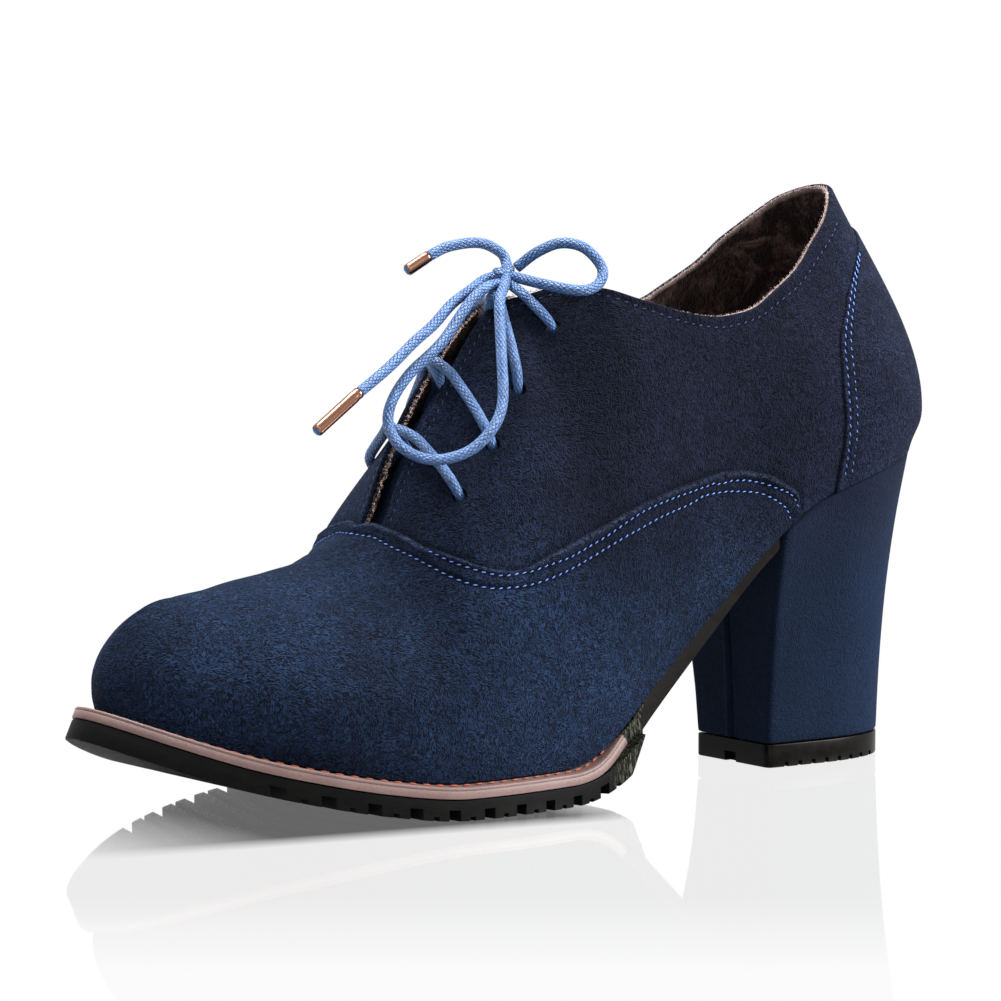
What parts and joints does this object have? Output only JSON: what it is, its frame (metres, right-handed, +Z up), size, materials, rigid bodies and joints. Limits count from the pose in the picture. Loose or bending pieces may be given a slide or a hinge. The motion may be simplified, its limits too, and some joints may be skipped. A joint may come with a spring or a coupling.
{
  "type": "lace up heel",
  "caption": "Women's lace-up shootie with a suede upper, closed lacing tied in a bow, a welted lug sole and a covered block heel",
  "frame": {"origin": "centre of the shoe's footprint on the floor, measured without the free laces", "axes": "+X to the toe, +Y to the outer side, +Z up; the heel's top lift and the forefoot stand on Z = 0"},
  "size_m": [0.233, 0.0868, 0.1424],
  "materials": {
    "suede": "napped suede, matt",
    "rubber": "matt moulded rubber",
    "welt": "smooth, low sheen",
    "plush": "short plush lining",
    "lace": "waxed round braid",
    "aglet": "copper coloured metal tube"
  },
  "bodies": {
    "root": {"upper": "suede", "outsole": "rubber", "welt": "welt", "insole": "plush", "heel": "suede", "top_lift": "rubber", "tongue": "suede", "lace_crossing_1": "lace", "lace_crossing_2": "lace", "lace_crossing_3": "lace", "lace_crossing_4": "lace", "lace_knot": "lace", "lace_loop_front": "lace", "lace_loop_rear": "lace", "lace_end_front": "lace", "lace_end_rear": "lace", "aglet_front": "aglet", "aglet_rear": "aglet"}
  },
  "joints": []
}
